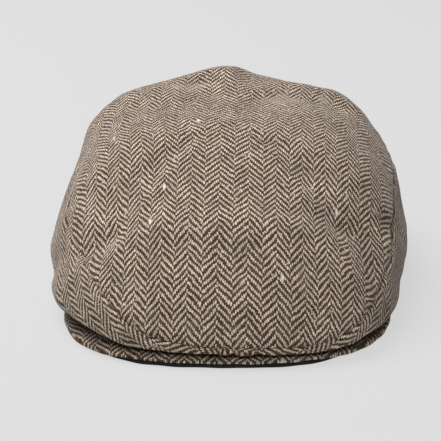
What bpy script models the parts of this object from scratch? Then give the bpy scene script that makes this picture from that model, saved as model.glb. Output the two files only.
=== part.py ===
"""Flat cap of herringbone tweed: a one-piece top panel, two side panels that meet at the front and
the back and turn under to the head opening, and a peak of an upper and an under cloth.

Metres, +Z up.  The cap stands on its rim and on the edge of its peak at z = 0 and faces -Y.
Left and right are the wearer's, so left is +X.
"""

import bpy
import numpy as np

# Crown
CROWN_WIDTH = 0.215      # across the fullest part of the side panels
FRONT_REACH = 0.135      # from the crown's middle forward to its front roll
BACK_REACH = 0.116       # from the crown's middle back to its back wall
CROWN_HEIGHT = 0.098     # at the crown's middle, above the surface it stands on
BACK_RISE = 0.017        # how much higher the back ridge stands
TOP_WALL = 0.0016
SIDE_WALL = 0.0016

# Head opening, inside the rim
HEAD_WIDTH = 0.162
HEAD_LENGTH = 0.194
HEAD_SETBACK = 0.008     # middle of the opening, behind the crown's middle
RIM_WALL = 0.0026        # hem of the side panels

# Peak
PEAK_WIDTH = 0.192
PEAK_SHOW = 0.0020       # how far its tip stands out before the front roll
PEAK_DEPTH = 0.085       # from its tip back to its widest place
PEAK_LIFT = 0.0080       # how far its seam at the front of the rim lies above its outer edge
PEAK_TOP_WALL = 0.0014
PEAK_UNDER_WALL = 0.0022

# Clearances
SEAM_GAP = 0.0003        # between two edges sewn together
SEAT_GAP = 0.0003        # between two cloths that lie on each other

# Facets
CROWN_COLUMNS = 72       # round the crown
TOP_ROWS = 13            # from the middle of the top panel to its seam
SIDE_ROWS = 5            # of a side panel, from the seam to the fullest place
ROLL_ROWS = 7            # of a side panel, from there round the roll to the rim
ROLL_ROW_CROWDING = 1.3  # over 1, the rows of the roll lie closer near the fullest place
PEAK_COLUMNS = 40
PEAK_ROWS = 6
PROFILE_STEPS = 160      # of the fine profiles that the rows are measured along
SHARP_EDGE_ANGLE = 50.0        # degrees

MIDDLE_Y = (FRONT_REACH + PEAK_SHOW - BACK_REACH) / 2

# The crown's profiles, from its middle to the rim, by the angle round it in degrees from the front.
# Heights are shares of CROWN_HEIGHT above the peak and the floor, where the crown rests.
SECTIONS = {
    "angle":             (0,     20,    40,    60,    90,    120,   150,   180),
    "full_height_left":  (0.016, 0.012, 0.068, 0.118, 0.220, 0.290, 0.370, 0.410),
    "full_height_right": (0.016, 0.012, 0.074, 0.160, 0.220, 0.290, 0.370, 0.410),
    "fullness":          (1.50,  1.54,  1.69,  1.98,  2.90,  3.80,  3.90,  3.80),
    "lean":              (0.00,  0.00,  0.00,  0.02,  0.11,  0.14,  0.09,  0.05),
    "squareness_left":   (2.40,  2.76,  2.80,  2.65,  2.50,  2.40,  2.35,  2.30),
    "squareness_right":  (2.40,  2.62,  2.67,  2.65,  2.50,  2.40,  2.35,  2.30),
    "roll_height_left":  (0.006, 0.006, 0.030, 0.042, 0.056, 0.090, 0.120, 0.140),
    "roll_height_right": (0.006, 0.006, 0.030, 0.055, 0.050, 0.090, 0.120, 0.140),
    "tuck_height":       (0.013, 0.013, 0.016, 0.052, 0.074, 0.090, 0.120, 0.140),
    "tuck_share":        (0.42,  0.44,  0.47,  0.50,  0.50,  0.50,  0.50,  0.50),
    "seam_share_left":   (0.983, 0.977, 0.945, 0.870, 0.765, 0.720, 0.690, 0.675),
    "seam_share_right":  (0.983, 0.963, 0.872, 0.822, 0.765, 0.720, 0.690, 0.675),
}

# The cloth's folds, dents and bulges.  Each runs from one place to another: across is a share of
# half the width, along a share of the reach (minus is to the front), up a share of the height.
# Width is a share of CROWN_WIDTH, height one of CROWN_HEIGHT, and a dent's height is negative.
FOLDS = (
    # name                  from: across, along, up   to: across, along, up    width   height
    ("right front crease", (-0.98, -0.42, 0.27), (-0.68, -0.61, 0.54), 0.050, -0.022),
    ("right front crease end", (-0.66, -0.61, 0.55), (-0.46, -0.54, 0.70), 0.050, -0.014),
    ("right low bulge", (-0.90, -0.62, 0.13), (-0.98, -0.48, 0.12), 0.060, 0.022),
    ("right side dent", (-0.95, -0.05, 0.60), (-0.90, 0.25, 0.66), 0.095, -0.030),
    ("right side crease", (-0.93, -0.24, 0.60), (-0.74, -0.38, 0.70), 0.048, -0.016),
    ("right shoulder", (-0.80, 0.44, 0.84), (-0.72, 0.62, 0.88), 0.085, 0.048),
    ("left front crease", (0.40, -0.53, 0.74), (0.66, -0.57, 0.61), 0.050, -0.014),
    ("left side crease", (0.70, -0.52, 0.60), (0.93, -0.37, 0.52), 0.050, -0.022),
    ("left back bulge", (0.93, 0.15, 0.62), (0.86, 0.36, 0.72), 0.080, 0.030),
    ("left shoulder", (0.74, 0.48, 0.88), (0.62, 0.66, 0.94), 0.085, 0.040),
    ("left low crease", (0.97, -0.38, 0.18), (0.90, -0.50, 0.26), 0.050, -0.024),
    ("soft crease across the front", (-0.30, -0.61, 0.67), (0.30, -0.61, 0.67), 0.055, -0.016),
    ("dip before the back ridge, right", (-0.48, 0.25, 1.0), (-0.18, 0.42, 1.03), 0.085, -0.024),
    ("dip before the back ridge, left", (0.18, 0.34, 1.0), (0.62, 0.42, 0.97), 0.085, -0.030),
    ("end of the back seam", (-0.06, 0.80, 1.04), (-0.03, 0.92, 1.02), 0.090, 0.060),
    ("fold beside the back seam", (0.13, 0.62, 1.04), (0.12, 0.85, 1.04), 0.050, -0.028),
)

# The peak ends where the head opening is nearly at its widest, in degrees from the front.
PEAK_END_ANGLE = 80.0
PEAK_WIDEST_ANGLE = 66.0
RIM_LEAVES_ANGLE = 83.0  # behind here the rim comes down from the peak
RIM_DOWN_ANGLE = 91.0    # and from here back it stands on the floor
PEAK_SQUARENESS = 2.60
PEAK_ARCH = 3.6          # the higher, the steeper the peak falls at its outer edge
PEAK_LIFT_SPREAD = 4     # the higher, the further round the peak keeps its lift
UNDER_EDGE_TAPER = 0.45  # how much thinner the under cloth is at the sides
PEAK_EDGE_ROUNDING = 0.35  # how much thinner the upper cloth is pressed at its edge
PEAK_EDGE_NEARNESS = 8   # the higher, the nearer to the edge the pressing starts

TWEED_COLOUR = (0.205, 0.160, 0.125, 1.0)
SIDE_TWEED_COLOUR = (0.180, 0.140, 0.112, 1.0)
UNDER_COLOUR = (0.012, 0.011, 0.012, 1.0)
TWEED_ROUGHNESS = 0.95
UNDER_ROUGHNESS = 0.80


def section(name, angle):
    """A smooth curve through a row of the table, level at both ends.

    The cap is the same left and right, apart from what has a row for each side.
    """
    if name not in SECTIONS:
        return np.where(angle < 0, section(name + "_right", angle), section(name + "_left", angle))
    knots = np.array(SECTIONS["angle"], float)
    values = np.array(SECTIONS[name], float)
    slopes = np.zeros_like(values)
    slopes[1:-1] = (values[2:] - values[:-2]) / (knots[2:] - knots[:-2])
    turn = np.abs(angle)
    left = np.clip(np.searchsorted(knots, turn, side="right") - 1, 0, len(knots) - 2)
    span = knots[left + 1] - knots[left]
    t = (turn - knots[left]) / span
    start = (1 + 2 * t) * (1 - t) ** 2 * values[left] + t * (1 - t) ** 2 * span * slopes[left]
    end = t * t * (3 - 2 * t) * values[left + 1] + t * t * (t - 1) * span * slopes[left + 1]
    return start + end


def ease(value, start, end):
    """0 before start, 1 after end, smooth between."""
    t = np.clip((value - start) / (end - start), 0, 1)
    return t * t * (3 - 2 * t)


def round_power(value, squareness):
    """A sine or cosine pulled towards a squarer outline."""
    return np.sign(value) * np.abs(value) ** (2 / squareness)


def head_outline(angle, outset=0.0):
    """The ellipse of the head opening, or one that lies outset outside it."""
    turn = np.radians(angle)
    x = (HEAD_WIDTH / 2 + outset) * np.sin(turn)
    y = MIDDLE_Y + HEAD_SETBACK - (HEAD_LENGTH / 2 + outset) * np.cos(turn)
    return x, y


def peak_outline(angle):
    """The peak's outer edge: a squarish half oval, then a quarter turn in to the rim."""
    turn = np.radians(np.clip(np.abs(angle) / PEAK_WIDEST_ANGLE, 0, 1) * 90)
    tip_y = MIDDLE_Y - FRONT_REACH - PEAK_SHOW
    x = PEAK_WIDTH / 2 * round_power(np.sin(turn), PEAK_SQUARENESS)
    y = tip_y + PEAK_DEPTH * (1 - round_power(np.cos(turn), PEAK_SQUARENESS))
    end_x, end_y = head_outline(PEAK_END_ANGLE, RIM_WALL)
    past_widest = (np.abs(angle) - PEAK_WIDEST_ANGLE) / (PEAK_END_ANGLE - PEAK_WIDEST_ANGLE)
    closing = np.radians(np.clip(past_widest, 0, 1) * 90)
    x = x - (PEAK_WIDTH / 2 - end_x) * (1 - np.cos(closing))
    y = y + (end_y - tip_y - PEAK_DEPTH) * np.sin(closing)
    return np.sign(angle) * x, y


def peak_lift(angle, out):
    """How far the peak arches up over the floor: out is 0 at the rim and 1 at its outer edge."""
    round_share = np.clip(np.abs(angle) / PEAK_END_ANGLE, 0, 1)
    return PEAK_LIFT * (1 - round_share ** PEAK_LIFT_SPREAD) * (1 - np.clip(out, 0, 1) ** PEAK_ARCH)


def under_wall(angle):
    return PEAK_UNDER_WALL * (1 - UNDER_EDGE_TAPER * np.clip(np.abs(angle) / PEAK_END_ANGLE, 0, 1) ** 2)


def rest_height(angle, out):
    """What the crown lies on: the peak, and behind the peak's ends the floor."""
    walls = under_wall(angle) + SEAT_GAP + PEAK_TOP_WALL + SEAT_GAP
    return peak_lift(angle, out) + walls * (1 - ease(np.abs(angle), RIM_LEAVES_ANGLE, RIM_DOWN_ANGLE))


def crown_outline(angle):
    """The crown's fullest outline, seen from above."""
    turn = np.radians(angle)
    squareness = section("squareness", angle)
    reach = np.where(np.abs(angle) < 90, FRONT_REACH, BACK_REACH)
    x = CROWN_WIDTH / 2 * round_power(np.sin(turn), squareness)
    y = -reach * round_power(np.cos(turn), squareness)
    return x, y


def crown_profiles(angle):
    """Finely stepped profiles from the crown's middle over its fullest place to the rim.

    Above, each is a superellipse between the middle and the outline, leaning in towards the top.
    Below, it is a Bezier curve of heights over what it rests on, which rolls under to the rim.
    """
    angle = np.asarray(angle, float)[:, None]
    reach_x, reach_y = crown_outline(angle)
    full_y = MIDDLE_Y + reach_y
    rim_x, rim_y = head_outline(angle, RIM_WALL)
    peak_in = head_outline(angle)
    peak_out = peak_outline(np.clip(angle, -PEAK_END_ANGLE, PEAK_END_ANGLE))
    peak_reach = np.hypot(peak_out[0] - peak_in[0], peak_out[1] - peak_in[1])
    overhang = np.hypot(reach_x - rim_x, full_y - rim_y) / peak_reach
    full_height = section("full_height", angle) * CROWN_HEIGHT
    full_z = rest_height(angle, overhang) + full_height

    t = np.linspace(0, np.pi / 2, PROFILE_STEPS)[None, :]
    fullness = section("fullness", angle)
    out = np.sin(t) ** (2 / fullness)
    rise = np.cos(t) ** (2 / fullness)
    backward = np.clip(-np.cos(np.radians(angle)), 0, 1)
    ceiling = CROWN_HEIGHT + BACK_RISE * backward * out ** 2
    out = out * (1 - section("lean", angle) * rise)
    above = np.stack(np.broadcast_arrays(
        reach_x * out, MIDDLE_Y + reach_y * out, full_z + (ceiling - full_z) * rise), -1)

    t = np.linspace(0, 1, PROFILE_STEPS)[None, 1:]

    def bezier(full, roll, tucked, rim):
        return (1 - t) ** 3 * full + 3 * t * (1 - t) ** 2 * roll + 3 * t * t * (1 - t) * tucked + t ** 3 * rim

    share = bezier(1, 1, section("tuck_share", angle), 0)
    height = bezier(full_height, section("roll_height", angle) * CROWN_HEIGHT,
                    section("tuck_height", angle) * CROWN_HEIGHT, 0)
    below = np.stack(np.broadcast_arrays(
        rim_x + (reach_x - rim_x) * share, rim_y + (full_y - rim_y) * share,
        rest_height(angle, overhang * share) + height), -1)
    return np.concatenate([above, below], axis=1), PROFILE_STEPS - 1


def along_profiles(angle, rows):
    """Points of the crown at given arc lengths: rows(seam, full, whole) returns those lengths."""
    profiles, full_step = crown_profiles(angle)
    steps = np.linalg.norm(np.diff(profiles, axis=1), axis=2)
    lengths = np.concatenate([np.zeros((len(angle), 1)), np.cumsum(steps, axis=1)], axis=1)
    full = lengths[:, full_step]
    seam = section("seam_share", np.asarray(angle, float)) * full
    wanted = rows(seam, full, lengths[:, -1])
    points = np.empty(wanted.shape + (3,))
    for column in range(len(angle)):
        for axis in range(3):
            points[column, :, axis] = np.interp(
                wanted[column], lengths[column], profiles[column, :, axis])
    return points


def crown_rows(seam, full, whole):
    """Arc lengths of the crown's rows: the top panel's, a seam gap, then the side panels'."""
    top = np.linspace(0, 1, TOP_ROWS)[None, :] * (seam - SEAM_GAP / 2)[:, None]
    side_start = seam + SEAM_GAP / 2
    upper = np.linspace(0, 1, SIDE_ROWS)[None, :-1] * (full - side_start)[:, None]
    lower = np.linspace(0, 1, ROLL_ROWS)[None, :] ** ROLL_ROW_CROWDING * (whole - full)[:, None]
    return np.concatenate([top, side_start[:, None] + upper, full[:, None] + lower], axis=1)


def normals(points):
    """Outward normals of the crown's grid, from the differences to its neighbours.

    The two edges of the top seam share one normal, so that they stay apart through the wall.
    """
    ring = np.concatenate([points[-2:-1], points, points[1:2]], axis=0)
    round_way = ring[2:] - ring[:-2]
    down_way = np.gradient(points, axis=1)
    normal = np.cross(down_way, round_way)
    length = np.linalg.norm(normal, axis=2, keepdims=True)
    normal = normal / np.where(length > 0, length, 1)
    normal[:, 0] = normal[:, 1].mean(axis=0)
    normal[:, TOP_ROWS - 1:TOP_ROWS + 1] = normal[:, TOP_ROWS - 1:TOP_ROWS + 1].mean(axis=1, keepdims=True)
    return normal / np.linalg.norm(normal, axis=2, keepdims=True)


def placed(place):
    """A place given in shares of the crown's sizes."""
    across, along, up = place
    reach = FRONT_REACH if along < 0 else BACK_REACH
    return np.array((across * CROWN_WIDTH / 2, MIDDLE_Y + along * reach, up * CROWN_HEIGHT))


def fold_heights(points):
    """The sum of the folds, each a smooth ridge or dent round the line between its two places."""
    total = np.zeros(points.shape[:-1])
    for _, start, end, width, height in FOLDS:
        start = placed(start)
        line = placed(end) - start
        share = np.clip((points - start) @ line / (line @ line), 0, 1)
        away = np.linalg.norm(points - start - share[..., None] * line, axis=-1)
        total += height * CROWN_HEIGHT * np.exp(-(away / (width * CROWN_WIDTH)) ** 2)
    return total


def crown_surfaces():
    """The crown's outer and inner grids, columns from the back round the front to the back."""
    angle = np.linspace(-180, 180, CROWN_COLUMNS + 1)
    points = along_profiles(angle, crown_rows)
    points[-1] = points[0]
    side_rows = SIDE_ROWS - 1 + ROLL_ROWS
    still = np.ones(points.shape[1])
    still[-ROLL_ROWS:] = 1 - np.linspace(0, 1, ROLL_ROWS) ** 2
    outer = points + normals(points) * (fold_heights(points) * still)[..., None]
    wall = np.full(outer.shape[1], TOP_WALL)
    wall[-side_rows:] = SIDE_WALL
    inner = outer - normals(outer) * wall[:, None]
    rim_x, rim_y = head_outline(angle)
    outer[:, -1] = points[:, -1]
    inner[:, -1] = np.stack([rim_x, rim_y, rest_height(angle, 0)], axis=-1)
    return outer, inner


def cloth(name, colour, roughness):
    material = bpy.data.materials.new(name)
    material.use_nodes = True
    shader = material.node_tree.nodes["Principled BSDF"]
    shader.inputs["Base Color"].default_value = colour
    shader.inputs["Roughness"].default_value = roughness
    shader.inputs["Metallic"].default_value = 0.0
    return material


def add_piece(name, vertices, faces, material):
    mesh = bpy.data.meshes.new(name)
    mesh.from_pydata([tuple(map(float, vertex)) for vertex in vertices], [], faces)
    mesh.materials.append(material)
    mesh.update()
    mesh.shade_smooth()
    mesh.set_sharp_from_angle(angle=np.radians(SHARP_EDGE_ANGLE))
    piece = bpy.data.objects.new(name, mesh)
    bpy.context.scene.collection.objects.link(piece)
    return piece


def sheet_wall(name, front, back, material):
    """A closed wall between two open grids of columns and rows, front facing out."""
    columns, rows = front.shape[:2]
    other = columns * rows

    def at(column, row):
        return column * rows + row

    faces = []
    for c in range(columns - 1):
        for r in range(rows - 1):
            faces.append((at(c, r), at(c, r + 1), at(c + 1, r + 1), at(c + 1, r)))
    faces += [tuple(other + corner for corner in reversed(face)) for face in faces]
    border = [at(c, 0) for c in range(columns)]
    border += [at(columns - 1, r) for r in range(1, rows)]
    border += [at(c, rows - 1) for c in range(columns - 2, -1, -1)]
    border += [at(0, r) for r in range(rows - 2, 0, -1)]
    for here, following in zip(border, border[1:] + border[:1]):
        faces.append((here, following, other + following, other + here))
    vertices = np.concatenate([front.reshape(-1, 3), back.reshape(-1, 3)])
    return add_piece(name, vertices, faces, material)


def dome_wall(name, front, back, material):
    """A closed wall between two domes: columns all round, the first row a single point."""
    columns, rows = front.shape[0] - 1, front.shape[1] - 1
    other = columns * rows + 1

    def at(column, row):
        return 0 if row == 0 else 1 + (column % columns) * rows + row - 1

    faces = []
    for c in range(columns):
        faces.append((at(c, 0), at(c, 1), at(c + 1, 1)))
        for r in range(1, rows):
            faces.append((at(c, r), at(c, r + 1), at(c + 1, r + 1), at(c + 1, r)))
    faces += [tuple(other + corner for corner in reversed(face)) for face in faces]
    for c in range(columns):
        faces.append((at(c + 1, rows), at(c, rows), other + at(c, rows), other + at(c + 1, rows)))
    vertices = np.concatenate([
        front[:1, 0], front[:-1, 1:].reshape(-1, 3), back[:1, 0], back[:-1, 1:].reshape(-1, 3)])
    return add_piece(name, vertices, faces, material)


def build_crown():
    outer, inner = crown_surfaces()
    dome_wall("crown_top_panel", outer[:, :TOP_ROWS], inner[:, :TOP_ROWS],
              cloth("crown_tweed", TWEED_COLOUR, TWEED_ROUGHNESS))
    front = CROWN_COLUMNS // 2
    halves = (("side_panel_right", slice(0, front + 1), -1), ("side_panel_left", slice(front, None), 1))
    for name, columns, side in halves:
        panel = [grid[columns, TOP_ROWS:].copy() for grid in (outer, inner)]
        for grid in panel:
            grid[[0, -1], :, 0] = side * SEAM_GAP / 2
        sheet_wall(name, panel[0], panel[1],
                   cloth(name + "_tweed", SIDE_TWEED_COLOUR, TWEED_ROUGHNESS))


def build_peak():
    """Two crescents, one on the other, from the rim to the peak's outer edge."""
    angle = np.linspace(-PEAK_END_ANGLE, PEAK_END_ANGLE, PEAK_COLUMNS + 1)[:, None]
    out = np.linspace(0, 1, PEAK_ROWS + 1)[None, :]
    in_x, in_y = head_outline(angle)
    out_x, out_y = peak_outline(angle)
    x = in_x + (out_x - in_x) * out
    y = in_y + (out_y - in_y) * out
    floor = peak_lift(angle, out)
    under_top = floor + under_wall(angle)
    upper_bottom = under_top + SEAT_GAP
    upper_top = upper_bottom + PEAK_TOP_WALL * (1 - PEAK_EDGE_ROUNDING * out ** PEAK_EDGE_NEARNESS)

    def grid(z):
        return np.stack(np.broadcast_arrays(x, y, z), axis=-1)

    sheet_wall("peak_under", grid(under_top), grid(floor),
               cloth("peak_lining", UNDER_COLOUR, UNDER_ROUGHNESS))
    sheet_wall("peak_top", grid(upper_top), grid(upper_bottom),
               cloth("peak_tweed", TWEED_COLOUR, TWEED_ROUGHNESS))


for old in list(bpy.data.objects):
    bpy.data.objects.remove(old, do_unlink=True)
build_crown()
build_peak()
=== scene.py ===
"""Flat cap of herringbone tweed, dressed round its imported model.

The file follows the cap as it is made up: the crown's top panel, its two side panels, the peak's
tweed and its dark under cloth, then the floor, the lights and the camera.  Metres, +Z up; the
cap faces -Y, and left and right are the wearer's, so left is +X.
"""

import bpy
import numpy as np
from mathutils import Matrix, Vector


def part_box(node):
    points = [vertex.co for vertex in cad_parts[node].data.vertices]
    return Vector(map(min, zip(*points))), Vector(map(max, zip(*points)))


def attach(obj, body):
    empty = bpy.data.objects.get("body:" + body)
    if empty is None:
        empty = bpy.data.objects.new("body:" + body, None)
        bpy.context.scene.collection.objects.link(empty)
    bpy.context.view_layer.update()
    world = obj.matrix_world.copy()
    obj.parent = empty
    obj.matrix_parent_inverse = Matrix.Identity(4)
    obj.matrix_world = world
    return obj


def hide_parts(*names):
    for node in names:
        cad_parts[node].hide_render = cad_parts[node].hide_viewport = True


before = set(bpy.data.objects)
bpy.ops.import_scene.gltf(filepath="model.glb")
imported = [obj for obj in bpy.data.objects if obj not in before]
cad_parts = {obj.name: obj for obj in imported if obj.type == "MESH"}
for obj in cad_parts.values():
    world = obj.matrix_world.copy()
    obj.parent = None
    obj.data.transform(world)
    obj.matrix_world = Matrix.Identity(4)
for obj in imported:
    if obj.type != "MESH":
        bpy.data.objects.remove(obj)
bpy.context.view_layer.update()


# Crown top panel
# One piece of herringbone wool tweed, from the front roll over the top to behind the back ridge,
# its ribs running front to back.  Its curved edge is turned in and sewn to the two side panels.

CROWN_MIDDLE = 0.0105        # y of the crown's middle
CROWN_HEIGHT = 0.098
BACK_RISE = 0.017            # how much higher the back ridge stands
FRONT_FALL = 0.0195          # how much the crown falls away towards the front corners
CROWN_WALL = 0.0016
SEAM_GAP = 0.0003
FRONT_FURTHER = 0.0045       # how much further forward than the model the crown comes
panel_low, panel_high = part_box("side_panel_left")
HALF_WIDTH = panel_high.x
FRONT_REACH = CROWN_MIDDLE - panel_low.y + FRONT_FURTHER
BACK_REACH = panel_high.y - CROWN_MIDDLE

HEAD_WIDTH = 0.162           # the head opening, inside the rim
HEAD_LENGTH = 0.194
HEAD_SETBACK = 0.008
RIM_WALL = 0.0026

PEAK_DEPTH = 0.0890          # from the peak's tip back to its widest place
PEAK_FURTHER = 0.0040        # how much further forward than the model the peak comes
PEAK_LIFT = 0.0080           # its inner edge at the front, above its outer edge
PEAK_ARCH = 1.7              # the higher, the steeper it falls at its outer edge
CROWN_ARCH = 3.6             # the same for the crown's underside, which leaves a deeper gap
PEAK_LIFT_SPREAD = 4         # the higher, the further round it keeps its lift
PEAK_TOP_WALL = 0.0014
PEAK_UNDER_WALL = 0.0022
SEAT_GAP = 0.0003
PEAK_END = 80.0              # degrees from the front
PEAK_WIDEST = 66.0
RIM_LEAVES = 83.0            # behind here the rim comes down from the peak to the floor
RIM_DOWN = 91.0
SQUARENESS_LEFT = 2.50       # of the peak's outer edge
SQUARENESS_RIGHT = 2.80
UNDER_EDGE_TAPER = 0.45
peak_low, peak_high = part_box("peak_top")
PEAK_TIP = peak_low.y - PEAK_FURTHER
PEAK_HALF_WIDTH = peak_high.x

# The crown's profiles by the angle from the front, near those of the model.  Heights are shares of
# CROWN_HEIGHT above what the crown lies on.
SECTIONS = {
    "angle":             (0,     20,    40,    60,    90,    120,   150,   180),
    "full_height_left":  (0.027, 0.020, 0.080, 0.108, 0.265, 0.290, 0.370, 0.410),
    "full_height_right": (0.027, 0.024, 0.098, 0.160, 0.265, 0.290, 0.370, 0.410),
    "fullness":          (1.50,  1.52,  1.60,  1.82,  3.50,  3.50,  3.90,  3.80),
    "lean":              (0.00,  0.00,  0.00,  0.03,  0.16,  0.12,  0.09,  0.05),
    "squareness_left":   (2.40,  2.78,  3.00,  2.72,  2.50,  2.40,  2.35,  2.30),
    "squareness_right":  (2.40,  2.66,  2.86,  2.65,  2.50,  2.40,  2.35,  2.30),
    "roll_height_left":  (0.018, 0.016, 0.034, 0.048, 0.056, 0.090, 0.120, 0.140),
    "roll_height_right": (0.018, 0.020, 0.042, 0.062, 0.050, 0.090, 0.120, 0.140),
    "tuck_height":       (0.026, 0.028, 0.034, 0.058, 0.074, 0.090, 0.120, 0.140),
    "tuck_share":        (0.42,  0.44,  0.47,  0.50,  0.50,  0.50,  0.50,  0.50),
    "seam_share_left":   (0.983, 0.977, 0.945, 0.870, 0.765, 0.720, 0.690, 0.675),
    "seam_share_right":  (0.983, 0.950, 0.862, 0.820, 0.765, 0.720, 0.690, 0.675),
}

# Folds, dents and bulges: from one place to another, each as shares of the half width, the reach
# and the height; then the width as a share of the full width and the height of CROWN_HEIGHT.
FOLDS = (
    ("right front crease", (-0.98, -0.42, 0.27), (-0.68, -0.61, 0.54), 0.050, -0.022),
    ("right front crease end", (-0.66, -0.61, 0.55), (-0.46, -0.54, 0.70), 0.050, -0.014),
    ("right low bulge", (-0.90, -0.62, 0.13), (-0.98, -0.48, 0.12), 0.060, 0.022),
    ("right side dent", (-0.95, -0.05, 0.60), (-0.90, 0.25, 0.66), 0.095, -0.030),
    ("right side crease", (-0.93, -0.24, 0.60), (-0.74, -0.38, 0.70), 0.048, -0.016),
    ("right shoulder", (-0.80, 0.44, 0.84), (-0.72, 0.62, 0.88), 0.085, 0.048),
    ("left front crease", (0.40, -0.53, 0.74), (0.66, -0.57, 0.61), 0.050, -0.014),
    ("left side crease", (0.70, -0.52, 0.60), (0.93, -0.37, 0.52), 0.050, -0.022),
    ("left back bulge", (0.93, 0.15, 0.62), (0.86, 0.36, 0.72), 0.080, 0.030),
    ("left shoulder", (0.74, 0.48, 0.88), (0.62, 0.66, 0.94), 0.085, 0.040),
    ("left low crease", (0.97, -0.38, 0.18), (0.90, -0.50, 0.26), 0.050, -0.024),
    ("bend across the front", (-0.32, -0.63, 0.65), (0.32, -0.63, 0.65), 0.070, 0.041),
    ("dip before the back ridge, right", (-0.48, 0.25, 1.0), (-0.18, 0.42, 1.03), 0.085, -0.024),
    ("dip before the back ridge, left", (0.18, 0.34, 1.0), (0.62, 0.42, 0.97), 0.085, -0.030),
    ("end of the back seam", (-0.04, 0.80, 1.04), (-0.01, 0.92, 1.02), 0.090, 0.060),
    ("fold beside the back seam", (0.13, 0.62, 1.04), (0.12, 0.85, 1.04), 0.050, -0.028),
)

# Finer creases, notches and bulges that the model leaves out, in the same columns.
CREASES = (
    ("right front crease, lower part", (-0.97, -0.36, 0.24), (-0.77, -0.58, 0.46), 0.022, -0.010),
    ("right front crease, upper part", (-0.77, -0.58, 0.46), (-0.52, -0.60, 0.63), 0.022, -0.006),
    ("ledge below it", (-0.84, -0.62, 0.36), (-0.55, -0.64, 0.55), 0.026, 0.004),
    ("right side crease", (-0.94, 0.00, 0.48), (-0.85, -0.31, 0.62), 0.022, -0.009),
    ("right side crease, end", (-0.85, -0.31, 0.62), (-0.62, -0.31, 0.80), 0.022, -0.006),
    ("notch at the right side", (-0.97, 0.00, 0.48), (-0.95, 0.06, 0.52), 0.028, -0.014),
    ("right side, upper", (-0.93, 0.06, 0.60), (-0.90, 0.14, 0.72), 0.040, -0.012),
    ("left front crease, upper part", (0.37, -0.55, 0.70), (0.62, -0.53, 0.60), 0.022, -0.006),
    ("ledge below it", (0.40, -0.60, 0.64), (0.66, -0.60, 0.52), 0.026, 0.004),
    ("left front crease, lower part", (0.62, -0.53, 0.60), (0.80, -0.48, 0.50), 0.022, -0.008),
    ("left side wedge", (0.86, -0.37, 0.56), (0.96, -0.25, 0.41), 0.022, -0.016),
    ("notch at the left side", (0.96, -0.41, 0.27), (0.97, -0.34, 0.27), 0.026, -0.012),
    ("left side dent", (0.92, -0.29, 0.50), (0.96, -0.02, 0.50), 0.026, -0.012),
    ("left side bulge", (0.98, -0.20, 0.34), (0.99, -0.05, 0.32), 0.040, 0.010),
    ("hollow left of the back seam", (0.05, 0.72, 1.03), (0.10, 0.52, 1.01), 0.022, -0.012),
    ("hollow right of the back seam", (-0.12, 0.66, 1.05), (-0.30, 0.46, 1.01), 0.026, -0.008),
    ("hollow before the back ridge", (0.16, 0.40, 1.00), (0.58, 0.42, 0.96), 0.030, -0.009),
    ("right low bulge, fuller", (-0.93, -0.60, 0.14), (-1.00, -0.44, 0.13), 0.050, 0.020),
    ("notch above it", (-0.99, -0.30, 0.25), (-0.99, -0.40, 0.24), 0.030, -0.014),
    ("left shoulder corner", (0.70, 0.48, 0.94), (0.64, 0.64, 0.98), 0.040, 0.028),
    ("flat below it", (0.87, 0.28, 0.80), (0.84, 0.40, 0.83), 0.045, -0.022),
    ("back ridge left of the seam", (0.04, 0.88, 1.08), (0.15, 0.88, 1.08), 0.045, 0.020),
    ("dent left of the back ridge", (0.34, 0.74, 1.06), (0.50, 0.70, 1.03), 0.055, -0.030),
    ("left side of the back seam's end", (0.04, 0.85, 1.06), (0.06, 0.91, 1.04), 0.035, 0.014),
    ("left side, low", (0.99, -0.28, 0.22), (1.00, -0.05, 0.20), 0.045, -0.024),
    ("right of the back ridge", (-0.62, 0.72, 1.00), (-0.52, 0.80, 1.02), 0.050, 0.012),
)

CROWN_COLUMNS = 560
TOP_ROWS = 108
EDGE_ROWS = 12               # more rows in the last EDGE_BAND before the seam
EDGE_BAND = 0.007
TOP_END = TOP_ROWS + EDGE_ROWS
SIDE_ROWS = 38               # from the seam down to the fullest place
ROLL_ROWS = 44               # from there round to the rim
INNER_ROWS = 56              # of the top panel's inner face, which has half the columns
PROFILE_STEPS = 240
EDGE_CROWDING = 1.4          # above 1, rows stand closer towards the seam or the fullest place
SIDE_CROWDING = 1.3
ROLL_CROWDING = 1.2

SEAM_DEPTH = 0.0010          # how far both edges turn in at the seam
SEAM_TURN = 0.0014           # over this distance
SEAM_WELT = 0.00035          # ridge of the turned-in cloth beside the seam
WELT_PLACE = 0.0042
WELT_WIDTH = 0.0022
PUCKER = 0.00030             # ripples that the stitching draws in
PUCKER_LENGTH = 0.011
PUCKER_REACH = 0.010
PUCKER_SEED = 3
UNEVENNESS = 0.00035         # soft waves of the whole cloth
UNEVEN_LENGTH = 0.034
UNEVEN_SEED = 5
WAVES = 24


def section(name, angle):
    """A cubic through a row of SECTIONS, level at both ends, with a row for each side or for both."""
    if name not in SECTIONS:
        return np.where(angle < 0, section(name + "_right", angle), section(name + "_left", angle))
    knots = np.array(SECTIONS["angle"], float)
    values = np.array(SECTIONS[name], float)
    slopes = np.zeros_like(values)
    slopes[1:-1] = (values[2:] - values[:-2]) / (knots[2:] - knots[:-2])
    turn = np.abs(angle)
    left = np.clip(np.searchsorted(knots, turn, side="right") - 1, 0, len(knots) - 2)
    span = knots[left + 1] - knots[left]
    t = (turn - knots[left]) / span
    start = (1 + 2 * t) * (1 - t) ** 2 * values[left] + t * (1 - t) ** 2 * span * slopes[left]
    end = t * t * (3 - 2 * t) * values[left + 1] + t * t * (t - 1) * span * slopes[left + 1]
    return start + end


def ease(value, start, end):
    """0 before start, 1 after end, smooth between."""
    t = np.clip((value - start) / (end - start), 0, 1)
    return t * t * (3 - 2 * t)


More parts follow.
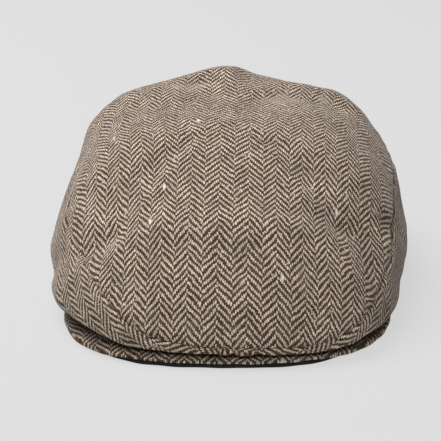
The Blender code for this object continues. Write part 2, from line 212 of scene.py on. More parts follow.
def round_power(value, squareness):
    """A sine or cosine pulled towards a squarer outline."""
    return np.sign(value) * np.abs(value) ** (2 / squareness)


def head_outline(angle, outset=0.0):
    """The ellipse of the head opening, or one that lies outset outside it."""
    turn = np.radians(angle)
    x = (HEAD_WIDTH / 2 + outset) * np.sin(turn)
    y = CROWN_MIDDLE + HEAD_SETBACK - (HEAD_LENGTH / 2 + outset) * np.cos(turn)
    return x, y


def peak_outline(angle):
    """The peak's outer edge: a squarish half oval, then a quarter turn in to the rim."""
    turn = np.radians(np.clip(np.abs(angle) / PEAK_WIDEST, 0, 1) * 90)
    squareness = np.where(angle < 0, SQUARENESS_RIGHT, SQUARENESS_LEFT)
    x = PEAK_HALF_WIDTH * round_power(np.sin(turn), squareness)
    y = PEAK_TIP + PEAK_DEPTH * (1 - round_power(np.cos(turn), squareness))
    end_x, end_y = head_outline(PEAK_END, RIM_WALL)
    past_widest = (np.abs(angle) - PEAK_WIDEST) / (PEAK_END - PEAK_WIDEST)
    closing = np.radians(np.clip(past_widest, 0, 1) * 90)
    x = x - (PEAK_HALF_WIDTH - end_x) * (1 - np.cos(closing))
    y = y + (end_y - PEAK_TIP - PEAK_DEPTH) * np.sin(closing)
    return np.sign(angle) * x, y


def peak_lift(angle, out, arch=PEAK_ARCH):
    """How far the peak arches up over the floor: out is 0 at the rim and 1 at its outer edge.

    The lift fades with the fourth power of the angle, and falls to the edge with out ** arch.
    """
    round_share = np.clip(np.abs(angle) / PEAK_END, 0, 1)
    return PEAK_LIFT * (1 - round_share ** PEAK_LIFT_SPREAD) * (1 - np.clip(out, 0, 1) ** arch)


def under_wall(angle):
    """The thickness of the peak's under cloth, thinner towards the sides."""
    return PEAK_UNDER_WALL * (1 - UNDER_EDGE_TAPER * np.clip(np.abs(angle) / PEAK_END, 0, 1) ** 2)


def rest_height(angle, out):
    """What the crown lies on: the peak, and behind the peak's ends the floor."""
    walls = under_wall(angle) + SEAT_GAP + PEAK_TOP_WALL + SEAT_GAP
    return peak_lift(angle, out, CROWN_ARCH) + walls * (1 - ease(np.abs(angle), RIM_LEAVES, RIM_DOWN))


def crown_profiles(angle):
    """Profiles from the crown's middle over its fullest place to the rim.

    Above the fullest place each is a superellipse between the middle and the outline, leaning in
    towards the top.  Below it is a Bezier curve of heights over what the crown lies on, which
    rolls under to the rim.
    """
    angle = angle[:, None]
    turn = np.radians(angle)
    squareness = section("squareness", angle)
    reach = np.where(np.abs(angle) < 90, FRONT_REACH, BACK_REACH)
    reach_x = HALF_WIDTH * round_power(np.sin(turn), squareness)
    reach_y = -reach * round_power(np.cos(turn), squareness)
    full_y = CROWN_MIDDLE + reach_y
    rim_x, rim_y = head_outline(angle, RIM_WALL)
    peak_in = head_outline(angle)
    peak_out = peak_outline(np.clip(angle, -PEAK_END, PEAK_END))
    peak_reach = np.hypot(peak_out[0] - peak_in[0], peak_out[1] - peak_in[1])
    overhang = np.hypot(reach_x - rim_x, full_y - rim_y) / peak_reach
    full_height = section("full_height", angle) * CROWN_HEIGHT
    full_z = rest_height(angle, overhang) + full_height

    t = np.linspace(0, np.pi / 2, PROFILE_STEPS)[None, :]
    fullness = section("fullness", angle)
    out = np.sin(t) ** (2 / fullness)
    rise = np.cos(t) ** (2 / fullness)
    behind = np.clip(-np.cos(turn), 0, 1)
    corner = np.clip(np.cos(turn), 0, 1) * np.sin(turn) ** 2
    ceiling = CROWN_HEIGHT + (BACK_RISE * behind - FRONT_FALL * corner) * out ** 2
    out = out * (1 - section("lean", angle) * rise)
    above = np.stack(np.broadcast_arrays(
        reach_x * out, CROWN_MIDDLE + reach_y * out, full_z + (ceiling - full_z) * rise), -1)

    t = np.linspace(0, 1, PROFILE_STEPS)[None, 1:]

    def bezier(full, roll, tucked, rim):
        ends = (1 - t) ** 3 * full + t ** 3 * rim
        return ends + 3 * t * (1 - t) ** 2 * roll + 3 * t * t * (1 - t) * tucked

    share = bezier(1, 1, section("tuck_share", angle), 0)
    height = bezier(full_height, section("roll_height", angle) * CROWN_HEIGHT,
                    section("tuck_height", angle) * CROWN_HEIGHT, 0)
    below = np.stack(np.broadcast_arrays(
        rim_x + (reach_x - rim_x) * share, rim_y + (full_y - rim_y) * share,
        rest_height(angle, overhang * share) + height), -1)
    return np.concatenate([above, below], axis=1)


def crown_grid(angle):
    """The crown's smooth surface as columns and rows, and each row's distance below the seam.

    The rows lie at even arc lengths of the profiles.  One interpolation serves all the profiles,
    because each one's lengths are shifted by a whole metre from those before it.
    """
    profiles = crown_profiles(angle)
    steps = np.linalg.norm(np.diff(profiles, axis=1), axis=2)
    lengths = np.concatenate([np.zeros((len(angle), 1)), np.cumsum(steps, axis=1)], axis=1)
    full = lengths[:, PROFILE_STEPS - 1, None]
    whole = lengths[:, -1, None]
    seam = section("seam_share", angle)[:, None] * full
    top = np.linspace(0, 1, TOP_ROWS, endpoint=False) * (seam - EDGE_BAND)
    to_seam = (1 - np.linspace(0, 1, EDGE_ROWS)) ** EDGE_CROWDING
    edge = seam - SEAM_GAP / 2 - (EDGE_BAND - SEAM_GAP / 2) * to_seam
    side_start = seam + SEAM_GAP / 2
    past_seam = np.linspace(0, 1, SIDE_ROWS, endpoint=False) ** SIDE_CROWDING
    upper = side_start + past_seam * (full - side_start)
    lower = full + np.linspace(0, 1, ROLL_ROWS) ** ROLL_CROWDING * (whole - full)
    wanted = np.concatenate([top, edge, upper, lower], axis=1)
    shift = np.arange(len(angle), dtype=float)[:, None]
    points = np.stack([
        np.interp((wanted + shift).ravel(), (lengths + shift).ravel(), profiles[..., axis].ravel())
        for axis in range(3)], axis=-1).reshape(wanted.shape + (3,))
    points[-1] = points[0]
    return points, wanted - seam


def outward(points):
    """Unit normals of the crown's grid, from the differences to the neighbours in both directions.

    The two edges of the seam share one normal, so that they meet at the bottom of its groove.
    """
    ring = np.concatenate([points[-2:-1], points, points[1:2]], axis=0)
    normal = np.cross(np.gradient(points, axis=1), ring[2:] - ring[:-2])
    length = np.linalg.norm(normal, axis=2, keepdims=True)
    normal = normal / np.where(length > 0, length, 1)
    normal[:, 0] = normal[:, 1].mean(axis=0)
    seam_rows = slice(TOP_END - 1, TOP_END + 1)
    normal[:, seam_rows] = normal[:, seam_rows].mean(axis=1, keepdims=True)
    return normal / np.linalg.norm(normal, axis=2, keepdims=True)


def fold_heights(points, folds):
    """The sum of the folds, each a Gaussian ridge or dent round the line between its two places."""
    total = np.zeros(points.shape[:-1])
    for _, start, end, width, height in folds:
        ends = []
        for across, along, up in (start, end):
            y = CROWN_MIDDLE + along * (FRONT_REACH if along < 0 else BACK_REACH)
            ends.append(np.array((across * HALF_WIDTH, y, up * CROWN_HEIGHT)))
        line = ends[1] - ends[0]
        share = np.clip((points - ends[0]) @ line / (line @ line), 0, 1)
        away = np.linalg.norm(points - ends[0] - share[..., None] * line, axis=-1)
        total += height * CROWN_HEIGHT * np.exp(-(away / (width * 2 * HALF_WIDTH)) ** 2)
    return total


def waves(points, length, seed):
    """Even random waves between about -1 and 1: plane waves of one length in many directions."""
    draw = np.random.default_rng(seed)
    directions = draw.normal(size=(WAVES, 3))
    directions *= 2 * np.pi / length / np.linalg.norm(directions, axis=1, keepdims=True)
    return np.cos(points @ directions.T + draw.uniform(0, 2 * np.pi, WAVES)).sum(axis=-1) / WAVES ** 0.5


def seam_shape(points, from_seam):
    """Both edges turn in at a seam, with a low ridge beside it and ripples that fade away."""
    away = np.abs(from_seam)
    turn = -SEAM_DEPTH * np.exp(-(away / SEAM_TURN) ** 2)
    welt = SEAM_WELT * np.exp(-((away - WELT_PLACE) / WELT_WIDTH) ** 2)
    ripples = PUCKER * waves(points, PUCKER_LENGTH, PUCKER_SEED) * np.exp(-away / PUCKER_REACH)
    return turn + welt + ripples


def make_mesh(name, vertices, quads, triangles, weave):
    """A smooth mesh with a UV map that holds each vertex's place in the flat cloth, in metres."""
    mesh = bpy.data.meshes.new(name)
    mesh.from_pydata(vertices.tolist(), [], quads.tolist() + triangles.tolist())
    corners = np.empty(len(mesh.loops), np.int32)
    mesh.loops.foreach_get("vertex_index", corners)
    mesh.uv_layers.new(name="Weave").data.foreach_set("uv", weave[corners].astype(np.float32).ravel())
    mesh.shade_smooth()
    piece = bpy.data.objects.new(name, mesh)
    bpy.context.scene.collection.objects.link(piece)
    return piece


def quads_of(index):
    """Quads between the neighbours of a grid of vertex numbers."""
    corners = [index[:-1, :-1], index[:-1, 1:], index[1:, 1:], index[1:, :-1]]
    return np.stack(corners, axis=-1).reshape(-1, 4)


def dome(name, outer, inner, outer_weave, inner_weave):
    """A closed cloth dome between two grids whose columns go all round from a shared middle.

    The inner grid has half the outer one's columns, so their edges are joined by three triangles
    to each inner column.
    """
    def numbered(grid, first):
        columns, rows = grid.shape[0] - 1, grid.shape[1] - 1
        ring = np.concatenate([np.arange(columns), [0]])
        return first + 1 + ring[:, None] * rows + np.arange(rows)[None, :]

    def listed(grid):
        return np.concatenate([grid[:1, 0], grid[:-1, 1:].reshape(-1, grid.shape[-1])])

    def middle(index, pole):
        return np.stack([np.full(len(index) - 1, pole), index[:-1, 0], index[1:, 0]], axis=-1)

    pole = (outer.shape[0] - 1) * (outer.shape[1] - 1) + 1
    out_index, in_index = numbered(outer, 0), numbered(inner, pole)
    here, half, following = out_index[:-1:2, -1], out_index[1::2, -1], out_index[2::2, -1]
    below, below_following = in_index[:-1, -1], in_index[1:, -1]
    rim = [(half, here, below), (half, below, below_following), (following, half, below_following)]
    triangles = [np.stack(corners, axis=-1) for corners in rim]
    triangles += [middle(out_index, 0), middle(in_index, pole)[:, ::-1]]
    return make_mesh(
        name, np.concatenate([listed(outer), listed(inner)]),
        np.concatenate([quads_of(out_index), quads_of(in_index)[:, ::-1]]), np.concatenate(triangles),
        np.concatenate([listed(outer_weave), listed(inner_weave)]))


angles = np.linspace(-180, 180, CROWN_COLUMNS + 1)
smooth, below_seam = crown_grid(angles)
settled = np.ones(smooth.shape[1])
settled[-ROLL_ROWS:] = 1 - np.linspace(0, 1, ROLL_ROWS) ** 2
relief = fold_heights(smooth, FOLDS + CREASES) + seam_shape(smooth, below_seam)
relief += UNEVENNESS * waves(smooth, UNEVEN_LENGTH, UNEVEN_SEED)
relief[:, TOP_END:] += seam_shape(smooth[:, TOP_END:], smooth[:, TOP_END:, 0])
crown = smooth + outward(smooth) * (relief * settled)[..., None]
lining_side = crown - outward(crown) * CROWN_WALL

# The ribs lie at even distances along U, and closer in plan the further out they are, because
# the cloth slopes there.  U is the sum of their density outwards from the middle, moved where the
# cloth has slid.  V is the length along the ribs, summed outwards from the crown's middle.  Both
# are worked out without the folds, which would shear the weave.
RIB_CROWDING = 0.28
CROWDED_FROM = 0.065
PLAN_STEPS = 481
PLAN_REACH = 1.1             # in half widths

# Where the cloth has slid across, in the columns of FOLDS: the last is how much U is raised.
SLIDES = (
    ("below the right front crease", (-0.74, -0.72, 0.34), (-0.55, -0.85, 0.24), 0.090, 0.012),
    ("below the left front crease", (0.46, -0.84, 0.30), (0.70, -0.72, 0.28), 0.100, -0.034),
    ("right of the top", (-0.34, 0.00, 0.99), (-0.74, 0.04, 0.90), 0.110, 0.034),
)

plan = np.linspace(-PLAN_REACH, PLAN_REACH, PLAN_STEPS) * HALF_WIDTH
density = 1 + RIB_CROWDING * ease(np.abs(plan), 0, CROWDED_FROM)
rib_at = np.concatenate([[0.0], np.cumsum((density[1:] + density[:-1]) / 2 * np.diff(plan))])
rib_at -= np.interp(0.0, plan, rib_at)
rib_place = np.interp(smooth[..., 0], plan, rib_at) + fold_heights(smooth, SLIDES)
step = np.diff(smooth, axis=1)
facing = outward(smooth)
facing = (facing[:, 1:] + facing[:, :-1]) / 2
slant = np.hypot(facing[..., 1], facing[..., 2])
rib_step = (step[..., 1] * facing[..., 2] - step[..., 2] * facing[..., 1]) / slant
rib_length = np.concatenate([np.zeros((len(angles), 1)), np.cumsum(rib_step, axis=1)], axis=1)
crown_weave = np.stack([rib_place, rib_length], axis=-1)

inner_rows = np.unique(np.linspace(0, TOP_END - 1, INNER_ROWS).round().astype(int))
top_panel = dome(
    "top_panel_tweed", crown[:, :TOP_END], lining_side[::2, inner_rows],
    crown_weave[:, :TOP_END], crown_weave[::2, inner_rows])


class Shade:
    """A socket of a cloth's material: arithmetic on it adds the Math nodes that work it out."""

    def __init__(self, cloth, socket):
        self.cloth = cloth
        self.socket = socket

    def math(self, operation, *values):
        inputs = dict(zip(("Value", "Value_001"), values))
        return self.cloth.node("ShaderNodeMath", {"operation": operation}, inputs)["Value"]

    def __add__(self, other):
        return self.math("ADD", self, other)

    def __sub__(self, other):
        return self.math("SUBTRACT", self, other)

    def __rsub__(self, other):
        return self.math("SUBTRACT", other, self)

    def __mul__(self, other):
        return self.math("MULTIPLY", self, other)

    def __truediv__(self, other):
        return self.math("DIVIDE", self, other)

    def __pow__(self, other):
        return self.math("POWER", self, other)

    def __mod__(self, other):
        return self.math("FLOORED_MODULO", self, other)

    def __lt__(self, other):
        return self.math("LESS_THAN", self, other)

    def floor(self):
        return self.math("FLOOR", self)

    def clamped(self):
        return self.math("MINIMUM", self.math("MAXIMUM", self, 0.0), 1.0)

    __radd__ = __add__
    __rmul__ = __mul__


class Cloth:
    """A material made of nodes: one method adds any node, and mix blends two colours."""

    def __init__(self, name):
        self.material = bpy.data.materials.new(name)
        self.material.use_nodes = True
        self.tree = self.material.node_tree
        self.finish = self.tree.nodes["Principled BSDF"]

    @staticmethod
    def find(sockets, name):
        return next(s for s in sockets if s.identifier == name or s.name == name)

    def put(self, socket, value):
        if isinstance(value, Shade):
            self.tree.links.new(value.socket, socket)
        else:
            socket.default_value = value

    def node(self, kind, settings=(), inputs=()):
        """Adds a node: its settings first, then its sockets' values or links.  Gives its outputs."""
        made = self.tree.nodes.new(kind)
        for name, value in dict(settings).items():
            setattr(made, name, value)
        for name, value in dict(inputs).items():
            self.put(self.find(made.inputs, name), value)
        return {s.identifier: Shade(self, s) for s in made.outputs}

    def split(self, colour):
        return self.node("ShaderNodeSeparateColor", {}, {"Color": colour})

    def noise(self, place, scale, detail, roughness):
        """Smooth noise of scale waves to the metre, as a share and as a colour."""
        return self.node("ShaderNodeTexNoise", {"noise_dimensions": "2D"}, {
            "Vector": place, "Scale": scale, "Detail": detail, "Roughness": roughness})

    def chance(self, across, along):
        """A random value for each pair of whole numbers."""
        pair = self.node("ShaderNodeCombineXYZ", {}, {"X": across, "Y": along})["Vector"]
        made = self.node("ShaderNodeTexWhiteNoise", {"noise_dimensions": "2D"}, {"Vector": pair})
        return made["Value"]

    def spots(self, place, scale, randomness, channel, share, size, sharpness):
        """Round spots in a share of random cells, picked by a channel of the cells' colours."""
        cells = self.node("ShaderNodeTexVoronoi", {"voronoi_dimensions": "2D"}, {
            "Vector": place, "Scale": scale, "Randomness": randomness})
        chosen = self.split(cells["Color"])[channel] < share
        return (size - cells["Distance"] * sharpness).clamped() * chosen

    def mix(self, share, first, second):
        """The first colour where share is 0, the second where it is 1."""
        mixed = self.node("ShaderNodeMix", {"data_type": "RGBA"},
                          {"Factor_Float": share, "A_Color": first, "B_Color": second})
        return mixed["Result_Color"]

    def set(self, **finish):
        """Sets or links the surface's own sockets, named in words with underscores."""
        for name, value in finish.items():
            self.put(self.find(self.finish.inputs, name.replace("_", " ")), value)


# A 2/2 twill whose slope turns back every half rib: cream warp ends pass over two dark picks and
# under two, and each end starts one pick above its neighbour.
RIB = 0.0170                 # full width of a herringbone rib, up and down slope
RIB_START = -0.0050
ENDS_IN_RIB = 16
PICK = 0.00115
THREAD_RELIEF = 0.00035
CREAM = (0.760, 0.655, 0.560, 1.0)
CREAM_DULL = (0.470, 0.380, 0.310, 1.0)
BROWN = (0.032, 0.017, 0.007, 1.0)
BROWN_LIGHT = (0.110, 0.068, 0.038, 1.0)
RUSSET = (0.130, 0.075, 0.034, 1.0)
FLECK = (0.900, 0.800, 0.700, 1.0)
MIXED = (0.250, 0.205, 0.175, 1.0)   # what the two colours look like from further off
PAINTED_SHEEN = (0.375, 0.320, 0.278, 1.0)  # painted sheen: the pale look of the wool's fuzz at a grazing angle
SHEEN = (0.900, 0.800, 0.760, 1.0)

# Of each noise: waves to the metre, detail and roughness.
WANDER = (120.0, 3.0, 0.60)  # threads wander slowly
WANDER_ASIDE = 0.0022
WANDER_ALONG = 0.0030
SHAKE = (620.0, 2.0, 0.60)   # and shake a little within each thread's width
SHAKE_ASIDE = 0.0008
SHAKE_ALONG = 0.0014
DYE = (1.0, 3.0, 0.65)       # uneven dye, drawn out along the thread
DYE_LONG = 330.0             # its waves to the metre along the thread and across it
DYE_SHORT = 1100.0
DYE_CONTRAST = 3.4
PATCHES = (75.0, 4.0, 0.70)  # of mixed fibres that hide the weave
CLOUDS = (60.0, 4.0, 0.60)   # lighter and darker places

# Of spots: cells to the metre, their unevenness, a channel of their colours and the share of
# cells that it picks, then size and sharpness.
SLUBS = (420.0, 1.0, "Red", 0.035, 1.3, 3.4)
KNOTS = (1.0, 0.9, "Green", 0.007, 1.2, 3.2)
KNOT_CELLS = (260.0, 110.0, 0.0)     # to the metre across and along: knots are longer than wide

# How much each of these covers the threads' own colour.
RUSSET_STRENGTH = 0.35
PATCH_STRENGTH = 0.45
PAINTED_SHEEN_STRENGTH = 0.55
SLUB_STRENGTH = 0.60
KNOT_STRENGTH = 0.85


def tweed(name, rib_start=0.0, finer=1.0, sheen_places=(), painted_shade_scale=1.0):
    """Herringbone tweed on the Weave map: threads, uneven dye, mixed fibres, flecks and relief.

    finer makes the weave smaller; the places listed next get painted sheen, the pale look of the
    fuzz where hollows are seen at a grazing angle, which hides the weave, in the columns of their
    table; and the last argument darkens it all as painted shade.
    """
    cloth = Cloth(name)
    place = cloth.node("ShaderNodeVectorMath", {"operation": "SCALE"}, {
        "Vector": cloth.node("ShaderNodeUVMap", {"uv_map": "Weave"})["UV"], "Scale": finer})["Vector"]
    flat = cloth.node("ShaderNodeSeparateXYZ", {}, {"Vector": place})
    wander = cloth.split(cloth.noise(place, *WANDER)["Color"])
    shake = cloth.split(cloth.noise(place, *SHAKE)["Color"])
    aside = (wander["Red"] - 0.5) * WANDER_ASIDE + (shake["Red"] - 0.5) * SHAKE_ASIDE
    lengthwise = (wander["Green"] - 0.5) * WANDER_ALONG + (shake["Green"] - 0.5) * SHAKE_ALONG
    end = (flat["X"] - rib_start + aside) / (RIB / ENDS_IN_RIB)
    pick = (flat["Y"] + lengthwise) / PICK

    # Four picks make one float of a warp end, which lies over the first two of them.
    in_rib = end % ENDS_IN_RIB
    whole = in_rib.floor()
    falling = in_rib < ENDS_IN_RIB / 2
    start = whole * falling + (ENDS_IN_RIB + 1 - whole) * (1 - falling)
    over = (pick + start) % 4
    on_top = over < 2
    along = over / 2
    end_round = (in_rib - whole) * (1 - in_rib + whole) * 4
    float_round = (along * (1 - along) * 4).clamped() ** 0.45
    pick_part = pick % 1
    pick_round = (pick_part * (1 - pick_part) * 4) ** 0.5
    fuller = cloth.chance(end.floor(), ((pick + start) / 4).floor()) * 0.35 + 0.72
    warp_height = end_round ** 0.7 * float_round * fuller
    height = warp_height * on_top + pick_round * 0.5 * (1 - on_top)

    def dyed(lengthwise, crosswise, aside):
        drawn = cloth.node("ShaderNodeMapping", {}, {
            "Vector": place, "Location": (aside, 0.0, 0.0), "Scale": (crosswise, lengthwise, 1.0)})
        return ((cloth.noise(drawn["Vector"], *DYE)["Fac"] - 0.5) * DYE_CONTRAST + 0.5).clamped()

    spotted = cloth.chance(end.floor(), pick.floor())
    dull = (dyed(DYE_LONG, DYE_SHORT, 3.0) * 0.8 + spotted * 0.3 - 0.06).clamped()
    light = (dyed(DYE_SHORT, DYE_LONG, 7.0) * 0.6 + spotted * 0.2).clamped()
    russet = (wander["Blue"] * 2.4 - 0.95).clamped() * RUSSET_STRENGTH
    cream = cloth.mix(dull, CREAM, CREAM_DULL)
    brown = cloth.mix(russet, cloth.mix(light, BROWN, BROWN_LIGHT), RUSSET)
    # The cream floats turn brown towards their edges: partly the brown weft between them, partly
    # painted shade between the threads.
    colour = cloth.mix((on_top * (warp_height * 1.5 - 0.1)).clamped(), brown, cream)

    patches = cloth.noise(place, *PATCHES)["Fac"]
    colour = cloth.mix((patches * 2.6 - 1.35).clamped() * PATCH_STRENGTH, colour, MIXED)
    # Painted sheen: pale patches where these hollows are seen at a grazing angle and the fuzz hides the
    # weave.
    for middle_x, middle_y, half_width, half_length in sheen_places:
        off_x = (flat["X"] - middle_x) / half_width
        off_y = (flat["Y"] - middle_y) / half_length
        sheen_share = (patches * 4.2 - 1.15 - (off_x * off_x + off_y * off_y) * 0.8).clamped()
        colour = cloth.mix(sheen_share * PAINTED_SHEEN_STRENGTH, colour, PAINTED_SHEEN)

    knot_place = cloth.node("ShaderNodeVectorMath", {"operation": "MULTIPLY"}, {
        "Vector": place, "Vector_001": KNOT_CELLS})["Vector"]
    slub = cloth.spots(place, *SLUBS)
    knot = cloth.spots(knot_place, *KNOTS)
    colour = cloth.mix(slub * SLUB_STRENGTH, colour, FLECK)
    colour = cloth.mix(knot * KNOT_STRENGTH, colour, FLECK)
    clouds = cloth.noise(place, *CLOUDS)["Fac"] * 0.8 + 0.6
    # The clouds vary the tone at random; the last factor darkens the whole piece as painted shade.
    colour = cloth.node("ShaderNodeVectorMath", {"operation": "SCALE"}, {
        "Vector": colour, "Scale": clouds * painted_shade_scale})["Vector"]

    bump = cloth.node("ShaderNodeBump", {}, {
        "Strength": 0.6, "Distance": THREAD_RELIEF, "Height": height + (slub + knot) * 0.5})
    cloth.set(Base_Color=colour, Roughness=0.92, Normal=bump["Normal"], Specular_IOR_Level=0.12,
              Sheen_Weight=0.20, Sheen_Roughness=0.40, Sheen_Tint=SHEEN)
    return cloth.material


# Painted sheen in three hollows before the back ridge, where they are seen at a grazing angle: middle
# across and along, half width and half length on the map.
PAINTED_SHEEN_PLACES = (
    (0.034, 0.041, 0.022, 0.010),
    (0.065, 0.052, 0.008, 0.006),
    (-0.025, 0.061, 0.016, 0.006),
)

top_panel.data.materials.append(tweed("top_tweed", rib_start=RIB_START, sheen_places=PAINTED_SHEEN_PLACES))
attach(top_panel, "root")
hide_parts("crown_top_panel")


# Side panels
# Two curved strips of the same tweed, each from the front centre round one side to the back centre.
# They are sewn to the top panel and turn under to the rim.

def strip(name, outer, inner, weave):
    """A closed cloth strip between two open grids, with walls along all four edges."""
    columns, rows = outer.shape[:2]
    other = columns * rows
    index = np.arange(other).reshape(columns, rows)
    border = np.concatenate([index[:, 0], index[-1, 1:], index[-2::-1, -1], index[0, -2:0:-1]])
    following = np.roll(border, -1)
    faces = quads_of(index)
    wall = np.stack([border, following, other + following, other + border], axis=-1)
    return make_mesh(
        name, np.concatenate([outer.reshape(-1, 3), inner.reshape(-1, 3)]),
        np.concatenate([faces, other + faces[:, ::-1], wall]), np.empty((0, 3), int),
        np.concatenate([weave.reshape(-1, 2), weave.reshape(-1, 2)]))


lining_side[:, -1] = np.stack([*head_outline(angles), rest_height(angles, 0)], axis=-1)
ENDS_GAP = 0.00002           # the two panels' ends are sewn edge to edge
full_row = TOP_END + SIDE_ROWS
round_step = np.linalg.norm(np.diff(smooth[:, full_row], axis=0), axis=1)
round_place = np.concatenate([[0.0], np.cumsum(round_step)])
round_place -= np.interp(0.0, angles, round_place)
down = np.linalg.norm(np.diff(smooth[:, TOP_END:], axis=1), axis=2)
down_place = np.concatenate([np.zeros((len(angles), 1)), np.cumsum(down, axis=1)], axis=1)

# Cut flat, each panel is a bow whose upper edge has this radius.  Its ribs slant at the side, more
# towards the front and less towards the back.
PANEL_RADIUS = 0.30
PANEL_SLANT = 40.0           # degrees at the side
side_place = np.interp(np.where(angles < 0, -90.0, 90.0), angles, np.abs(round_place))
turned = (np.radians(PANEL_SLANT) + (side_place - np.abs(round_place)) / PANEL_RADIUS)[:, None]
on_bow = np.stack([np.sin(turned), np.cos(turned)], axis=-1)
side_weave = (PANEL_RADIUS - down_place)[..., None] * on_bow
front = CROWN_COLUMNS // 2
# Darkened to 0.94 as painted shade of the sides, where the cloth turns away from the light.
side_tweed = tweed("side_tweed", finer=1.2, painted_shade_scale=0.94)
for name, columns, side in (("right", slice(0, front + 1), -1), ("left", slice(front, None), 1)):
    outer, inner = (grid[columns, TOP_END:].copy() for grid in (crown, lining_side))
    for grid in (outer, inner):
        grid[[0, -1], :, 0] = side * ENDS_GAP / 2
    panel = strip("side_panel_tweed_" + name, outer, inner, side_weave[columns])
    panel.data.materials.append(side_tweed)
    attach(panel, "root")
    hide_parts("side_panel_" + name)


# Peak, upper cloth
# A crescent of the same tweed stretched over the peak, ribs front to back, its edge turned down,
# darkened as painted shade of the crown's overhang.

PEAK_COLUMNS = 320
PEAK_ROWS = 44
PEAK_CROWDING = 0.8          # below 1, rows stand closer towards the outer edge
EDGE_TURNS = 9               # points round the turned edge
WRAP_START, WRAP_END = 16.0, 38.0    # degrees: the tweed turns down over the side edges only
WRAP_REACH = 0.0030          # how far in from the edge it starts to turn down
WRAP_CLEAR = 0.0003          # above the floor
EDGE_WAVE = 0.00025          # the edge is pressed and stitched a little unevenly
EDGE_WAVE_LENGTH = 0.016


def wrapped(angle):
    """How far the tweed covers the under cloth's edge: 0 at the front and 1 at the sides."""
    return ease(np.abs(angle), WRAP_START, WRAP_END)


def crescent(name, bottom, top, inset, seed):
    """A closed crescent: a flat loop, rounded at the outer edge, carried round the peak.

    bottom and top give heights by the angle and by out, which runs from 0 at the head opening to
    1 at the outer edge, where the loop turns in a half circle.  inset(angle) shortens it there.
    """
    angle = np.linspace(-PEAK_END, PEAK_END, PEAK_COLUMNS + 1)[:, None]
    in_x, in_y = head_outline(angle)
    out_x, out_y = peak_outline(angle)
    reach = np.hypot(out_x - in_x, out_y - in_y)
    edge_place = np.stack([out_x, out_y, np.zeros_like(out_x)], axis=-1)
    wave = EDGE_WAVE * waves(edge_place, EDGE_WAVE_LENGTH, seed)
    last = 1 - np.clip((inset(angle) + wave + EDGE_WAVE) / reach, 0, 0.5)
    edge = np.minimum((top(angle, last) - bottom(angle, last)) / 2, reach / 3) / reach
    flat = np.linspace(0, 1, PEAK_ROWS)[None, :] ** PEAK_CROWDING * (last - edge)
    turn = np.linspace(np.pi / 2, -np.pi / 2, EDGE_TURNS + 2)[None, 1:-1]
    out = np.concatenate([flat, last - edge * (1 - np.cos(turn)), flat[:, ::-1]], axis=1)
    level = np.concatenate([np.ones_like(flat), (1 + np.sin(turn) * np.ones_like(angle)) / 2,
                            np.zeros_like(flat)], axis=1)
    z = bottom(angle, out) + (top(angle, out) - bottom(angle, out)) * level
    x = in_x + (out_x - in_x) * out
    y = in_y + (out_y - in_y) * out
    points = np.stack(np.broadcast_arrays(x, y, z), -1)
    columns, rows = points.shape[:2]
    index = np.arange(columns * rows).reshape(columns, rows)
    index = np.concatenate([index, index[:, :1]], axis=1)
    half = rows // 2
    upper, lower = index[[0, -1], :half], index[[0, -1], rows - half:rows][:, ::-1]
    first_end = quads_of(np.stack([upper[0], lower[0]]))
    last_end = quads_of(np.stack([lower[1], upper[1]]))
    return make_mesh(
        name, points.reshape(-1, 3), np.concatenate([quads_of(index), first_end, last_end]),
        np.empty((0, 3), int), points[..., :2].reshape(-1, 2))


def under_bottom(angle, out):
    return peak_lift(angle, out)


def under_top(angle, out):
    return peak_lift(angle, out) + under_wall(angle)


def upper_bottom(angle, out):
    """On the under cloth, and at the sides down past its edge, nearly to the floor."""
    in_x, in_y = head_outline(angle)
    out_x, out_y = peak_outline(angle)
    start = 1 - WRAP_REACH / np.hypot(out_x - in_x, out_y - in_y)
    down = wrapped(angle) * ease(out, start, (1 + start) / 2)
    return peak_lift(angle, out) + (under_wall(angle) + SEAT_GAP) * (1 - down) + WRAP_CLEAR * down


def upper_top(angle, out):
    return peak_lift(angle, out) + under_wall(angle) + SEAT_GAP + PEAK_TOP_WALL


peak_cloth = crescent("peak_tweed", upper_bottom, upper_top, np.zeros_like, seed=11)
# Darkened to 0.80 as painted shade: the shade that the crown's overhang casts on the peak.
peak_cloth.data.materials.append(tweed("peak_tweed", rib_start=RIB_START, painted_shade_scale=0.80))
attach(peak_cloth, "root")
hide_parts("peak_top")


# Peak, under cloth
# A stout near-black cloth under the peak, its black partly its own colour and partly painted shade of
# the peak's underside.  Its edge shows as a thin dark line below the tweed.

UNDER_THREAD = 0.0009
UNDER_RELIEF = 0.0002
UNDER_WEAR = (300.0, 3.0, 0.50)
# Near-black: the cloth's own dark colour together with painted shade of the peak's underside.
UNDER_BLACK_AND_SHADE = (0.0050, 0.0046, 0.0052, 1.0)
UNDER_GREY_AND_SHADE = (0.0160, 0.0150, 0.0170, 1.0)


def under_inset(angle):
    return wrapped(angle) * WRAP_REACH


def under_cloth(name):
    """Plain weave on the Weave map: crossing threads, with soft relief."""
    cloth = Cloth(name)
    place = cloth.node("ShaderNodeUVMap", {"uv_map": "Weave"})["UV"]
    flat = cloth.node("ShaderNodeSeparateXYZ", {}, {"Vector": place})
    across = (flat["X"] / UNDER_THREAD) % 1
    along = (flat["Y"] / UNDER_THREAD) % 1
    height = across * (1 - across) * along * (1 - along) * 16
    worn = cloth.noise(place, *UNDER_WEAR)["Fac"]
    # Painted shade: blacker in the hollows between threads and greyer on their crowns; the worn noise
    # is the cloth's own unevenness.
    colour = cloth.mix((height * 0.5 + worn * 0.5).clamped(), UNDER_BLACK_AND_SHADE, UNDER_GREY_AND_SHADE)
    bump = cloth.node("ShaderNodeBump", {}, {
        "Strength": 0.5, "Distance": UNDER_RELIEF, "Height": height})
    cloth.set(Base_Color=colour, Roughness=0.85, Normal=bump["Normal"], Specular_IOR_Level=0.2)
    return cloth.material


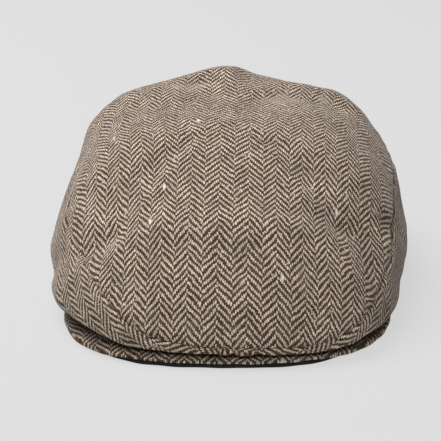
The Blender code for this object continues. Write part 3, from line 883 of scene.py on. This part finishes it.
peak_lining = crescent("peak_under_cloth", under_bottom, under_top, under_inset, seed=12)
peak_lining.data.materials.append(under_cloth("under_cloth"))
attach(peak_lining, "root")
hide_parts("peak_under")


# Floor
# A wide pale studio floor that fills the view.

FLOOR_HALF = 6.0
FLOOR_COLOUR = (0.11, 0.11, 0.11, 1.0)
FLOOR_GLOW = 0.60
WHITE = (1.0, 1.0, 1.0, 1.0)

floor_mesh = bpy.data.meshes.new("floor")
floor_mesh.from_pydata([(-FLOOR_HALF, -FLOOR_HALF, 0), (FLOOR_HALF, -FLOOR_HALF, 0),
                        (FLOOR_HALF, FLOOR_HALF, 0), (-FLOOR_HALF, FLOOR_HALF, 0)], [], [(0, 1, 2, 3)])
floor = bpy.data.objects.new("floor", floor_mesh)
bpy.context.scene.collection.objects.link(floor)
paper = Cloth("pale_paper")
paper.set(Base_Color=FLOOR_COLOUR, Roughness=1.0, Specular_IOR_Level=0.0,
          Emission_Color=WHITE, Emission_Strength=FLOOR_GLOW)
floor_mesh.materials.append(paper.material)


# Lights and camera
# Soft studio light from above and the viewer's left, and the camera a little above the cap.

AIM = Vector((0.0, 0.0, 0.045))
AIM_ASIDE = -0.0057          # the cap stands a little right of and above the picture's middle
AIM_DOWN = -0.0062
CAMERA_AZIMUTH = 1.5
CAMERA_ELEVATION = 21.0
CAMERA_DISTANCE = 1.400
PICTURE_PIXELS = 441
FOCAL_PIXELS = 2331.0        # focal length in the picture's pixels

LIGHTS = (
    # name, azimuth and elevation in degrees, distance, size, power in watts
    ("side", -130.0, 60.0, 1.6, 1.2, 31.5),
    ("front", -6.0, 45.0, 1.8, 0.9, 18.0),
)
WORLD_LIGHT = 0.06


def from_round(azimuth, elevation):
    """The direction from the cap towards a place seen round it; azimuth 0 is the front."""
    a, e = np.radians(azimuth), np.radians(elevation)
    return Vector((np.sin(a) * np.cos(e), -np.cos(a) * np.cos(e), np.sin(e)))


for name, azimuth, elevation, distance, size, power in LIGHTS:
    lamp = bpy.data.lights.new(name, "AREA")
    lamp.size = size
    lamp.energy = power
    light = bpy.data.objects.new(name, lamp)
    bpy.context.scene.collection.objects.link(light)
    light.location = AIM + from_round(azimuth, elevation) * distance
    light.rotation_euler = (-from_round(azimuth, elevation)).to_track_quat("-Z", "Y").to_euler()

world = bpy.data.worlds.new("studio")
world.use_nodes = True
background = world.node_tree.nodes["Background"]
background.inputs["Color"].default_value = WHITE
background.inputs["Strength"].default_value = WORLD_LIGHT
bpy.context.scene.world = world
bpy.context.scene.view_settings.view_transform = "Standard"

lens = bpy.data.cameras.new("camera")
lens.lens = lens.sensor_width * FOCAL_PIXELS / PICTURE_PIXELS
lens.clip_start = 0.05
camera = bpy.data.objects.new("camera", lens)
bpy.context.scene.collection.objects.link(camera)
back = from_round(CAMERA_AZIMUTH, CAMERA_ELEVATION)
turn = (-back).to_track_quat("-Z", "Y")
aside, upward = turn @ Vector((1, 0, 0)), turn @ Vector((0, 1, 0))
camera.location = AIM + aside * AIM_ASIDE + upward * AIM_DOWN + back * CAMERA_DISTANCE
camera.rotation_euler = turn.to_euler()
bpy.context.scene.camera = camera
